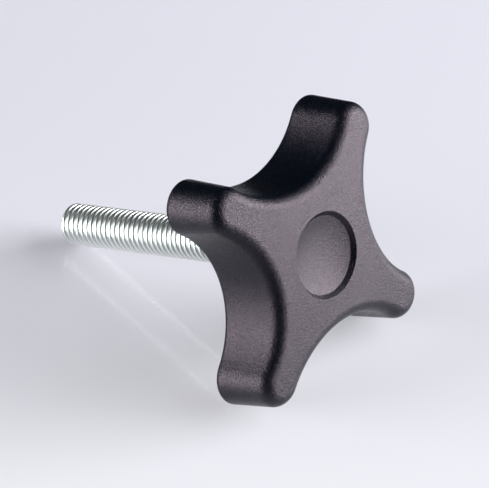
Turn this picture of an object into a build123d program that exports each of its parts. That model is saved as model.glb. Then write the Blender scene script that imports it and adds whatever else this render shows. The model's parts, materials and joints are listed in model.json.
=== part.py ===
from build123d import *

import os
from math import acos, atan2, cos, degrees, hypot, radians, sin, sqrt, tan

# Star knob: a moulded four-arm grip on an M8 stud. It lies on two of its arms and the stud's tip.

os.makedirs("parts", exist_ok=True)

# Driving dimensions, in millimetres and degrees.

# Grip: a star of four arms joined by hollows, drafted towards the face.
span = 60.0
arm_end_r = 5.2
waist_r = 15.0
body_h = 14.0
draft = 3.35
crown_drop = 1.9
face_fillet = 2.6
back_fillet = 0.5

# Round recess in the middle of the face: a bevelled rim and a dished floor, flat in the middle.
recess_r = 8.2
bevel = 0.8
rim_fillet = 0.15
dish = 0.9
dish_flat_r = 0.6

# Hub on the back, which bears on the clamped part.
hub_r = 9.0
hub_h = 2.6
hub_fillet = 0.5

# Pockets that core out the arms from the back.
pocket_wall = 3.0
pocket_start_r = 17.2
pocket_depth = 9.0
pocket_draft = 1.0
pocket_corner_r = 1.0

# Stud: a hexagon-head screw. Its thread starts at the seat, and its head and plain shank are moulded in.
stud_r = 4.0
stud_l = 50.0
tip_chamfer = 0.8
stud_gap = 0.25
shank_r = 3.6
head_af = 13.0
head_h = 5.3
head_cover = 2.6

# Outline: each arm ends in an arc, and neighbouring arms meet in a hollow arc tangent to both.
arm_count = 4
arm_step = 360 / arm_count
half_step = arm_step / 2
arm_centre = span / 2 - arm_end_r
across = arm_centre * cos(radians(half_step))
hollow_r = (arm_centre**2 + waist_r**2 - 2 * across * waist_r - arm_end_r**2) / (
    2 * (arm_end_r + across - waist_r)
)
hollow_centre = waist_r + hollow_r
lean = degrees(
    atan2(
        hollow_centre * sin(radians(half_step)),
        hollow_centre * cos(radians(half_step)) - arm_centre,
    )
)

# The face is part of a sphere that falls away from the crown.
crown_r = ((span / 2) ** 2 + crown_drop**2) / (2 * crown_drop)


def crown_fall(radius):
    return crown_r - sqrt(crown_r**2 - radius**2)


# Levels along the knob's axis, from the seat towards the face.
crown = hub_h + body_h
rim = crown - crown_fall(recess_r)
floor_edge = rim - bevel
floor_mid = floor_edge - dish
head_top = floor_mid - head_cover
head_base = head_top - head_h

# Rest: the rolled back edges of the two lower arms and the rim of the stud's tip touch the ground.
slope = radians(draft)
side_drop = across + arm_end_r
edge_drop = side_drop - back_fillet * (tan(slope) + 1 / cos(slope))
edge_level = hub_h + back_fillet
tip_level = stud_l - tip_chamfer
drop = edge_drop - stud_r
run = edge_level + tip_level
tilt = acos(-back_fillet / hypot(drop, run)) - atan2(run, drop)
seat_z = stud_r * cos(tilt) + tip_level * sin(tilt)

# The frame's origin is on the ground, midway between the face's foremost edge and the stud's tip.
corner_level = crown - crown_fall(span / 2 - face_fillet) - face_fillet
corner_drop = side_drop - (corner_level - hub_h) * tan(slope) - face_fillet
reach_front = corner_level * cos(tilt) + corner_drop * sin(tilt) + face_fillet
reach_back = stud_l * cos(tilt) + (stud_r - tip_chamfer) * sin(tilt)
seat_y = (reach_front - reach_back) / 2

# The seat plane faces the front of the knob, with its X axis level and midway between two arms.
seat = Plane(
    origin=(0, seat_y, seat_z),
    x_dir=(1, 0, 0),
    z_dir=(0, -cos(tilt), sin(tilt)),
)
back = seat.offset(hub_h)
section = Plane(origin=seat.origin, x_dir=seat.x_dir, z_dir=-seat.y_dir)
knob_axis = Axis(seat.origin, seat.z_dir)


def polar(radius, angle):
    return (radius * cos(radians(angle)), radius * sin(radians(angle)))


def star_edges(inset):
    # The outline moved inwards: every arc keeps its centre and changes its radius.
    with BuildLine() as star:
        for arm in range(arm_count):
            angle = half_step + arm * arm_step
            CenterArc(polar(arm_centre, angle), arm_end_r - inset, angle - lean, 2 * lean)
            CenterArc(
                polar(hollow_centre, angle + half_step),
                hollow_r + inset,
                angle + lean + 180,
                arm_step - 2 * lean,
            )
    return star.edges()


with BuildPart() as threaded_stud:
    with BuildSketch(seat.offset(-stud_l)):
        Circle(stud_r)
    extrude(amount=stud_l)
    tip = threaded_stud.faces().sort_by(knob_axis)[0]
    chamfer(tip.edges(), tip_chamfer)
    with BuildSketch(seat):
        Circle(shank_r)
    extrude(amount=head_base)
    with BuildSketch(seat.offset(head_base)):
        RegularPolygon(head_af / 2, 6, major_radius=False)
    extrude(amount=head_h)

with BuildPart() as knob_body:
    # Drafted star, crowned by a shallow sphere whose seam lies along an arm.
    with BuildSketch(back):
        make_face(star_edges(0))
    extrude(amount=body_h, taper=draft)
    with Locations(seat.offset(crown - crown_r)):
        Sphere(crown_r, rotation=(0, 0, half_step), mode=Mode.INTERSECT)
    crown_face = knob_body.faces().sort_by(knob_axis)[-1]
    fillet(crown_face.outer_wire().edges(), face_fillet)
    back_face = knob_body.faces().sort_by(knob_axis)[0]
    fillet(back_face.edges(), back_fillet)

    # Recess in the face.
    with BuildSketch(section):
        with BuildLine():
            dished = TangentArc(
                (dish_flat_r, floor_mid),
                (recess_r - bevel, floor_edge),
                tangent=(1, 0),
            )
            Polyline(
                dished @ 1,
                (recess_r + bevel, rim + bevel),
                (0, rim + bevel),
                (0, floor_mid),
                dished @ 0,
            )
        make_face()
    revolve(axis=knob_axis, mode=Mode.SUBTRACT)
    rim_edges = knob_body.edges(Select.LAST).group_by(knob_axis)[-1]
    fillet(rim_edges, rim_fillet)

    # Pockets in the arms, with their inner corners rounded.
    with BuildSketch(back):
        make_face(star_edges(pocket_wall))
        Circle(pocket_start_r, mode=Mode.SUBTRACT)
    extrude(amount=pocket_depth, taper=pocket_draft, mode=Mode.SUBTRACT)
    pocket_levels = knob_body.edges(Select.LAST).group_by(knob_axis)
    uprights = pocket_levels[1].sort_by_distance(seat.origin)[: 2 * arm_count]
    fillet(uprights, pocket_corner_r)

    # Hub, with a cavity moulded round the screw and a bevelled mouth that clears its thread.
    with BuildSketch(seat):
        Circle(hub_r)
    extrude(amount=hub_h)
    add(threaded_stud.part, mode=Mode.SUBTRACT)
    seat_face = knob_body.faces().sort_by(knob_axis)[0]
    fillet(seat_face.outer_wire().edges(), hub_fillet)
    seat_face = knob_body.faces().sort_by(knob_axis)[0]
    chamfer(seat_face.inner_wires().edges(), stud_r + stud_gap - shank_r)

knob_body.part.label = "knob_body"
threaded_stud.part.label = "threaded_stud"

export_step(knob_body.part, "parts/knob_body.step")
export_step(threaded_stud.part, "parts/threaded_stud.step")
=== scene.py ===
import json
import math

import bpy
from mathutils import Matrix, Vector


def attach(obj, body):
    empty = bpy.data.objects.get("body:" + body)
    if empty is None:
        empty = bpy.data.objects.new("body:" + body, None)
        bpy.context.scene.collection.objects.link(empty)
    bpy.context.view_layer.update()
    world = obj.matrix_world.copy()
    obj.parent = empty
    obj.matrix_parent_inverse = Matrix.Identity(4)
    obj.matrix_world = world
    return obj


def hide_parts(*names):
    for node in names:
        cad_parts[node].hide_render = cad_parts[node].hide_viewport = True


# A moulded star knob on a zinc-plated stud, lying on two of its arms and the stud's tip.

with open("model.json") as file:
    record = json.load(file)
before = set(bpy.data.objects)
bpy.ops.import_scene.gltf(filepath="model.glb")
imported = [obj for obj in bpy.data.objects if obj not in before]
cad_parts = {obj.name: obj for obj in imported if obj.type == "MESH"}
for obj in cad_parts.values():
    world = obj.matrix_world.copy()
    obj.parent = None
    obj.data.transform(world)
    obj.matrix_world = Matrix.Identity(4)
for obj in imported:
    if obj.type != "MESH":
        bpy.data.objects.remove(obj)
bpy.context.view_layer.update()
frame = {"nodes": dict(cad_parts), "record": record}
print("frame loaded:", ", ".join(frame["nodes"]))

# Where the stud stands, from the record: its axis runs from the knob's seat to the stud's tip.
studMount = next(m for m in frame["record"]["mounts"] if m["name"] == "stud")
studAxis = Vector(studMount["axis"]).normalized()
studRadius = studMount["dims"]["r_mm"] / 1000
studLength = studMount["dims"]["length_mm"] / 1000
seatCentre = Vector(studMount["pos_m"]) - studAxis * (studLength / 2)
faceDirection = -studAxis


class Wire:
    # A socket in a node tree: + - * / on it add the Math nodes.
    def __init__(self, tree, socket):
        self.tree = tree
        self.socket = socket

    def __add__(self, other):
        return self.tree.maths("ADD", self, other)

    def __sub__(self, other):
        return self.tree.maths("SUBTRACT", self, other)

    def __rsub__(self, other):
        return self.tree.maths("SUBTRACT", other, self)

    def __mul__(self, other):
        return self.tree.maths("MULTIPLY", self, other)

    def __truediv__(self, other):
        return self.tree.maths("DIVIDE", self, other)

    __radd__ = __add__
    __rmul__ = __mul__


class Tree:
    # Adds nodes to a material's tree or to a Geometry Nodes group.
    def __init__(self, nodeTree):
        self.nodeTree = nodeTree

    def node(self, kind, settings=None, inputs=None):
        made = self.nodeTree.nodes.new(kind)
        for name, value in (settings or {}).items():
            if name == "curve":
                self.setCurve(made.mapping, value)
            else:
                setattr(made, name, value)
        for name, value in (inputs or {}).items():
            self.feed(made.inputs[name], value)
        return made

    def out(self, kind, output, settings=None, inputs=None):
        return Wire(self, self.node(kind, settings, inputs).outputs[output])

    def maths(self, operation, *values):
        return self.out("ShaderNodeMath", 0, {"operation": operation}, dict(enumerate(values)))

    def blend(self, factor, first, second):
        return self.out(
            "ShaderNodeMix",
            "Result",
            {"data_type": "RGBA"},
            {"Factor": factor, "A": first, "B": second},
        )

    def along(self, point, direction):
        # How far a point lies in a direction.
        return self.out(
            "ShaderNodeVectorMath",
            "Value",
            {"operation": "DOT_PRODUCT"},
            {0: point, 1: direction},
        )

    def feed(self, socket, value):
        if isinstance(value, Wire):
            value = value.socket
        if isinstance(value, bpy.types.NodeSocket):
            self.nodeTree.links.new(value, socket)
        else:
            socket.default_value = value

    def setCurve(self, mapping, points):
        curve = mapping.curves[0]
        while len(curve.points) < len(points):
            curve.points.new(0.5, 0.5)
        for point, place in zip(curve.points, points):
            point.location = place
            point.handle_type = "AUTO_CLAMPED"
        mapping.update()


def newMaterial(name):
    material = bpy.data.materials.new(name)
    material.use_nodes = True
    material.node_tree.nodes.clear()
    return material, Tree(material.node_tree)


def finishMaterial(tree, inputs):
    shader = tree.node("ShaderNodeBsdfPrincipled", None, inputs)
    tree.node("ShaderNodeOutputMaterial", None, {"Surface": shader.outputs[0]})


def objectPoint(tree):
    return tree.out("ShaderNodeTexCoord", "Object")


def noise(tree, point, pattern):
    inputs = {"Vector": point, "Scale": pattern["scale"], "Detail": pattern["detail"]}
    return tree.out("ShaderNodeTexNoise", 0, None, inputs)


def bump(tree, height, depth, under=None):
    # Lays a relief of the given depth over the one under it.
    inputs = {"Height": height, "Distance": depth, "Strength": 1}
    if under:
        inputs["Normal"] = under
    return tree.out("ShaderNodeBump", 0, None, inputs)


# Grip: charcoal plastic out of a spark-eroded mould.

grip = {
    "dark": (0.0001, 0.0020, 0.0054, 1),
    "pale": (0.0006, 0.0032, 0.0080, 1),
    "clouds": {"scale": 140, "detail": 3},
    "grain": {"scale": 7000, "detail": 2},
    "pits": {"scale": 4200, "detail": 1},
    "grainDepth": 0.00008,
    "pitDepth": 0.00009,
    "roughness": (0.23, 0.31),
    "specularLevel": 0.38,
    "specularTint": (1.0, 0.815, 0.945, 1),
    # A fine witness line runs round the walls, just above their back edge.
    "lineLevel": 0.0030,
    "lineWidth": 0.00032,
    "lineDepth": 0.0003,
}


def makeGripPlastic():
    material, tree = newMaterial("sparkTexturedPlastic")
    point = objectPoint(tree)
    clouds = noise(tree, point, grip["clouds"])
    grain = noise(tree, point, grip["grain"])
    pits = noise(tree, point, grip["pits"])
    low, high = grip["roughness"]
    level = tree.along(point, faceDirection) - (seatCentre.dot(faceDirection) + grip["lineLevel"])
    line = tree.maths("MINIMUM", tree.maths("ABSOLUTE", level) / grip["lineWidth"], 1)
    grained = bump(tree, grain, grip["grainDepth"])
    pitted = bump(tree, pits, grip["pitDepth"], grained)
    finishMaterial(
        tree,
        {
            "Base Color": tree.blend(clouds, grip["dark"], grip["pale"]),
            "Roughness": low + (high - low) * grain,
            "Specular IOR Level": grip["specularLevel"],
            "Specular Tint": grip["specularTint"],
            "Normal": bump(tree, line, grip["lineDepth"], pitted),
        },
    )
    return material


knobBody = frame["nodes"]["knob_body"]
knobBody.data.materials.clear()
knobBody.data.materials.append(makeGripPlastic())
print("grip finished")

# Stud: a hexagon-head screw with a rolled thread and bright zinc plating.

stud = {
    "pitch": 0.00125,
    "depth": 0.00062,
    "tipChamfer": 0.0008,
    "runOut": 0.0015,
    # Share of the thread's depth over one pitch, from the middle of one root to the next.
    "profile": [
        (0, 1), (0.07, 0.9), (0.16, 0.5), (0.25, 0.16), (0.36, 0.03), (0.5, 0),
        (0.64, 0.03), (0.75, 0.16), (0.84, 0.5), (0.93, 0.9), (1, 1),
    ],
    "sides": 96,
    "rowsPerTurn": 14,
    "spareTurns": 2,  # wound on at each end, and closed in to the axis there
    "capTurns": 0.9,
    "weld": 2e-6,
    "smoothAngle": 40,
    # The plain shank and the head are hidden in the grip.
    "shankRadius": 0.0036,
    "shankSides": 48,
    "acrossFlats": 0.013,
    "headSides": 6,
    "headHeight": 0.0053,
    "overlap": 0.0004,
    "crest": (0.91, 0.94, 0.89, 1),
    # Painted shade: the thread's roots get a darker, bluer colour than its crests.
    "groove": (0.54, 0.64, 0.66, 1),
    "smears": {"scale": 500, "detail": 3},
    "roughness": (0.32, 0.44),
}


def makeZincPlate():
    material, tree = newMaterial("brightZincPlate")
    smears = noise(tree, objectPoint(tree), stud["smears"])
    # The colour darkens towards the thread's roots: painted shade in the grooves.
    groove = tree.out("ShaderNodeAttribute", "Fac", {"attribute_name": "groove"})
    low, high = stud["roughness"]
    finishMaterial(
        tree,
        {
            "Base Color": tree.blend(groove, stud["crest"], stud["groove"]),
            "Roughness": low + (high - low) * smears,
            "Metallic": 1,
        },
    )
    return material


def addInput(group, name, kind):
    return group.interface.new_socket(name=name, in_out="INPUT", socket_type=kind).identifier


def windThread(tree, size):
    # A sheared grid is wound into the thread: its rows climb one pitch in a turn.
    spare = stud["spareTurns"]
    turns = size["Length"] / size["Pitch"] + 2 * spare
    rows = tree.maths("CEIL", turns * size["Rows Per Turn"])
    grid = tree.node(
        "GeometryNodeMeshGrid",
        None,
        {"Size X": 1, "Size Y": 1, "Vertices X": size["Sides"] + 1, "Vertices Y": rows + 1},
    )
    place = tree.node(
        "ShaderNodeSeparateXYZ", None, {0: tree.out("GeometryNodeInputPosition", 0)}
    )
    turn = Wire(tree, place.outputs[0]) + 0.5
    row = (Wire(tree, place.outputs[1]) + 0.5) * rows
    rise = size["Pitch"] * (row / size["Rows Per Turn"] + turn - spare)
    height = tree.maths("MINIMUM", tree.maths("MAXIMUM", rise, 0), size["Length"])
    over = tree.maths("ABSOLUTE", rise - height) / (size["Pitch"] * stud["capTurns"])
    phase = tree.maths("FRACT", height / size["Pitch"] - turn + spare)
    share = tree.out("ShaderNodeFloatCurve", 0, {"curve": stud["profile"]}, {"Value": phase})
    groove = share * tree.maths("MINIMUM", height / size["Run Out"], 1)
    wall = size["Radius"] - size["Depth"] * groove
    cone = size["Radius"] - size["Chamfer"] + size["Length"] - height
    reach = tree.maths("MINIMUM", wall, cone) * tree.maths("MAXIMUM", 1 - over, 0)
    angle = turn * math.tau
    wound = tree.out(
        "ShaderNodeCombineXYZ",
        0,
        None,
        {0: reach * tree.maths("COSINE", angle), 1: reach * tree.maths("SINE", angle), 2: height},
    )
    # Keeps the groove's depth share, which also paints shade into the thread's roots.
    kept = tree.out(
        "GeometryNodeStoreNamedAttribute",
        0,
        {"data_type": "FLOAT", "domain": "POINT"},
        {"Geometry": grid.outputs["Mesh"], "Name": "groove", "Value": groove},
    )
    moved = tree.out("GeometryNodeSetPosition", 0, None, {"Geometry": kept, "Position": wound})
    return tree.out(
        "GeometryNodeMergeByDistance", 0, None, {"Geometry": moved, "Distance": stud["weld"]}
    )


def standBar(tree, sides, radius, length, middle):
    # A round or six-sided bar on the screw's axis, with its middle at a height.
    bar = tree.out(
        "GeometryNodeMeshCylinder",
        "Mesh",
        None,
        {"Vertices": sides, "Radius": radius, "Depth": length},
    )
    offset = tree.out("ShaderNodeCombineXYZ", 0, None, {2: middle})
    return tree.out("GeometryNodeTransform", 0, None, {"Geometry": bar, "Translation": offset})


def makeScrewTree(material):
    # The seat is at height 0, the tip points up and the head lies below.
    group = bpy.data.node_groups.new("rolledThread", "GeometryNodeTree")
    names = {
        "Radius": "NodeSocketFloat",
        "Length": "NodeSocketFloat",
        "Pitch": "NodeSocketFloat",
        "Depth": "NodeSocketFloat",
        "Chamfer": "NodeSocketFloat",
        "Run Out": "NodeSocketFloat",
        "Sides": "NodeSocketInt",
        "Rows Per Turn": "NodeSocketInt",
        "Shank Radius": "NodeSocketFloat",
        "Head Radius": "NodeSocketFloat",
        "Head Height": "NodeSocketFloat",
        "Head Top": "NodeSocketFloat",
    }
    identifiers = {name: addInput(group, name, kind) for name, kind in names.items()}
    group.interface.new_socket(name="Thread", in_out="OUTPUT", socket_type="NodeSocketGeometry")
    tree = Tree(group)
    inlet = tree.node("NodeGroupInput")
    size = {name: Wire(tree, inlet.outputs[name]) for name in names}

    joined = tree.node("GeometryNodeJoinGeometry", None, {"Geometry": windThread(tree, size)})
    headBase = size["Head Top"] - size["Head Height"]
    shankLength = headBase + 2 * stud["overlap"]
    headMiddle = size["Head Height"] / 2 - size["Head Top"]
    bars = (
        standBar(tree, stud["shankSides"], size["Shank Radius"], shankLength, headBase / -2),
        standBar(tree, stud["headSides"], size["Head Radius"], size["Head Height"], headMiddle),
    )
    for bar in bars:
        tree.feed(joined.inputs[0], bar)
    realized = tree.out("GeometryNodeRealizeInstances", 0, None, {"Geometry": joined.outputs[0]})
    dressed = tree.out(
        "GeometryNodeSetMaterial", 0, None, {"Geometry": realized, "Material": material}
    )
    tree.node("NodeGroupOutput", None, {"Thread": dressed})
    return group, identifiers


def plainMesh(group, inputs, name):
    # Evaluates the tree on an empty mesh and keeps the result as a mesh of its own.
    carrier = bpy.data.objects.new(name + "Carrier", bpy.data.meshes.new(name + "Carrier"))
    bpy.context.scene.collection.objects.link(carrier)
    modifier = carrier.modifiers.new("make", "NODES")
    modifier.node_group = group
    for identifier, value in inputs.items():
        modifier[identifier] = value
    evaluated = carrier.evaluated_get(bpy.context.evaluated_depsgraph_get())
    mesh = bpy.data.meshes.new_from_object(evaluated)
    carrier.modifiers.remove(modifier)
    bpy.data.objects.remove(carrier)
    mesh.name = name
    return mesh


def makeStud():
    solid = frame["nodes"]["threaded_stud"].data
    group, identifiers = makeScrewTree(makeZincPlate())
    values = {
        "Radius": studRadius,
        "Length": studLength,
        "Pitch": stud["pitch"],
        "Depth": stud["depth"],
        "Chamfer": stud["tipChamfer"],
        "Run Out": stud["runOut"],
        "Sides": stud["sides"],
        "Rows Per Turn": stud["rowsPerTurn"],
        "Shank Radius": stud["shankRadius"],
        "Head Radius": stud["acrossFlats"] / math.sqrt(3),
        "Head Height": stud["headHeight"],
        "Head Top": max((v.co - seatCentre).dot(faceDirection) for v in solid.vertices),
    }
    mesh = plainMesh(group, {identifiers[name]: value for name, value in values.items()}, "stud")
    across = Vector((1, 0, 0))
    turned = Matrix((across, studAxis.cross(across), studAxis)).transposed()
    mesh.transform(Matrix.Translation(seatCentre) @ turned.to_4x4())
    mesh.shade_smooth()
    mesh.set_sharp_from_angle(angle=math.radians(stud["smoothAngle"]))
    made = bpy.data.objects.new("rolled_stud", mesh)
    bpy.context.scene.collection.objects.link(made)
    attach(made, "root")
    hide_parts("threaded_stud")
    made.visible_diffuse = False  # keeps its glints off the floor


makeStud()
print("stud made")

# Camera: a long lens, from the left of the face and above.

shot = {
    "azimuth": -50.2,
    "elevation": 36.56,
    "roll": 0.2,
    "distance": 0.890,
    "lens": 357.8,
    "sensor": 36,
    "clip": (0.01, 20),
    # The camera aims beside the middle of the face.
    "crownHeight": 0.0166,
    "aimLeft": 0.01514,
    "aimUp": 0.00213,
}


def makeCamera():
    a = math.radians(shot["azimuth"])
    e = math.radians(shot["elevation"])
    outward = Vector((math.sin(a) * math.cos(e), -math.cos(a) * math.cos(e), math.sin(e)))
    right = Vector((math.cos(a), math.sin(a), 0))
    turned = Matrix((right, outward.cross(right), outward)).transposed()
    turned = turned @ Matrix.Rotation(math.radians(shot["roll"]), 3, "Z")
    crown = seatCentre + faceDirection * shot["crownHeight"]
    aim = crown - turned.col[0] * shot["aimLeft"] + turned.col[1] * shot["aimUp"]
    data = bpy.data.cameras.new("camera")
    data.lens = shot["lens"]
    data.sensor_width = shot["sensor"]
    data.clip_start, data.clip_end = shot["clip"]
    camera = bpy.data.objects.new("camera", data)
    camera.matrix_world = Matrix.Translation(aim + outward * shot["distance"]) @ turned.to_4x4()
    bpy.context.scene.collection.objects.link(camera)
    bpy.context.scene.camera = camera


makeCamera()
bpy.context.scene.view_settings.view_transform = "Standard"
print("camera placed")

# Stage: a pale glossy floor between softboxes and panels, with black drapes round it.


def towards(bearing, rise=0):
    # Bearings run clockwise from +Y, seen from above, in degrees.
    bearing = math.radians(bearing)
    rise = math.radians(rise)
    level = Vector((math.sin(bearing), math.cos(bearing), 0)) * math.cos(rise)
    return level + Vector((0, 0, math.sin(rise)))


def stageMesh(name, corners, faces, material):
    mesh = bpy.data.meshes.new(name)
    mesh.from_pydata(corners, [], faces)
    mesh.materials.append(material)
    made = bpy.data.objects.new(name, mesh)
    bpy.context.scene.collection.objects.link(made)
    return made


def paleRays(tree):
    # 1 for rays from the camera and for the reflections in metal and glass.
    rays = tree.node("ShaderNodeLightPath")
    share = Wire(tree, rays.outputs["Is Camera Ray"])
    for name in ("Is Glossy Ray", "Is Transmission Ray"):
        share = tree.maths("MAXIMUM", share, Wire(tree, rays.outputs[name]))
    return share


floor = {
    "size": 24,
    "colour": (0.785, 0.80, 0.865, 1),
    "roughness": 0.02,
    "specularLevel": 0.13,
    # Its glow is painted light, a pool of light that grows towards the front left, over this reach
    # to either side of the middle.
    "glowColour": (0.952, 0.947, 0.992, 1),
    "glowBearing": -129.8,
    "glowReach": 0.10,
    "glowBack": 0.02,
    "glowFront": 1.0,
    "glowBend": 2.2,
}
black = (0, 0, 0, 1)


def makeFloor():
    material, tree = newMaterial("paleFloor")
    forward = tree.along(objectPoint(tree), towards(floor["glowBearing"]))
    share = tree.out(
        "ShaderNodeMapRange",
        0,
        None,
        {"Value": forward, "From Min": -floor["glowReach"], "From Max": floor["glowReach"]},
    )
    back, front = floor["glowBack"], floor["glowFront"]
    # Painted light: the floor's glow grows from dim at the back to bright at the front.
    glow = paleRays(tree) * (back + (front - back) * tree.maths("POWER", share, floor["glowBend"]))
    finishMaterial(
        tree,
        {
            "Base Color": tree.blend(glow, floor["colour"], black),
            "Roughness": floor["roughness"],
            "Specular IOR Level": floor["specularLevel"],
            "Emission Color": tree.blend(glow, black, floor["glowColour"]),
            "Emission Strength": 1,
        },
    )
    half = floor["size"] / 2
    corners = [(-half, -half, 0), (half, -half, 0), (half, half, 0), (-half, half, 0)]
    stageMesh("floor", corners, [(0, 1, 2, 3)], material)


drapes = {
    # A round curtain with a roof, and two low screens that hide the floor behind and before
    # the knob. Only reflections see them.
    "curtain": {"from": -180, "to": 180, "distance": 1.8, "height": 1.3, "roof": True},
    "backScreen": {"from": 5, "to": 90, "distance": 0.12, "height": 0.1, "roof": False},
    "frontScreen": {"from": -160, "to": -105, "distance": 0.073, "height": 0.1, "roof": False},
}
cloth = {
    "colour": (0.005, 0.006, 0.008, 1),
    "roughness": 0.9,
    "glowColour": (0.894, 0.88, 0.958, 1),
    "glow": 0.01,
    "foldStep": 15,
}


def makeDrapes():
    material, tree = newMaterial("blackCloth")
    finishMaterial(
        tree,
        {
            "Base Color": cloth["colour"],
            "Roughness": cloth["roughness"],
            "Emission Color": cloth["glowColour"],
            "Emission Strength": cloth["glow"],
        },
    )
    for name, drape in drapes.items():
        sweep = drape["to"] - drape["from"]
        count = math.ceil(sweep / cloth["foldStep"])
        bearings = [drape["from"] + sweep / count * i for i in range(count + 1)]
        feet = [towards(bearing) * drape["distance"] for bearing in bearings]
        tops = [foot + Vector((0, 0, drape["height"])) for foot in feet]
        faces = [(i, i + 1, count + i + 2, count + i + 1) for i in range(count)]
        if drape["roof"]:
            faces.append(tuple(range(count + 1, 2 * count + 1)))
        made = stageMesh(name, feet + tops, faces, material)
        made.visible_camera = False
        made.visible_diffuse = False
        made.visible_shadow = False


softboxes = {
    "rightSoftbox": {
        "bearing": 133,
        "rise": 11,
        "distance": 1.15,
        "size": (0.95, 0.45),
        "radiance": 16.5,
        "colour": (1, 0.98, 1),
    },
    "leftSoftbox": {
        "bearing": -50,
        "rise": 9.5,
        "distance": 1.2,
        "size": (0.9, 0.42),
        "radiance": 15.2,
        "colour": (1, 0.98, 1),
    },
    "leftPanel": {
        "bearing": -42,
        "rise": 11,
        "distance": 1.3,
        "size": (2.0, 0.5),
        "radiance": 0.4,
        "colour": (1, 1, 1),
    },
    "rightPanel": {
        "bearing": 136,
        "rise": 33,
        "distance": 1.3,
        "size": (1.1, 0.7),
        "radiance": 4.2,
        "colour": (1, 1, 1),
    },
}


def makeSoftbox(name, box):
    light = bpy.data.lights.new(name, "AREA")
    light.shape = "RECTANGLE"
    light.size, light.size_y = box["size"]
    light.energy = box["radiance"] * math.pi * light.size * light.size_y
    light.color = box["colour"]
    toward = towards(box["bearing"], box["rise"])
    lamp = bpy.data.objects.new(name, light)
    lamp.location = toward * box["distance"]
    lamp.rotation_mode = "QUATERNION"
    lamp.rotation_quaternion = (-toward).to_track_quat("-Z", "Y")
    bpy.context.scene.collection.objects.link(lamp)


sky = {
    "ambientColour": (0.894, 0.88, 0.958, 1),
    "ambientStrength": 0.24,
    "paleColour": (0.80, 0.81, 0.86, 1),
    "paleStrength": 1,
}


def makeWorld():
    world = bpy.data.worlds.new("studio")
    world.use_nodes = True
    world.node_tree.nodes.clear()
    tree = Tree(world.node_tree)
    shades = [
        tree.out(
            "ShaderNodeBackground",
            0,
            None,
            {"Color": sky[kind + "Colour"], "Strength": sky[kind + "Strength"]},
        )
        for kind in ("ambient", "pale")
    ]
    mixed = tree.out(
        "ShaderNodeMixShader", 0, None, {0: paleRays(tree), 1: shades[0], 2: shades[1]}
    )
    tree.node("ShaderNodeOutputWorld", None, {"Surface": mixed})
    bpy.context.scene.world = world


makeFloor()
makeDrapes()
for name, box in softboxes.items():
    makeSoftbox(name, box)
makeWorld()
print("stage set")
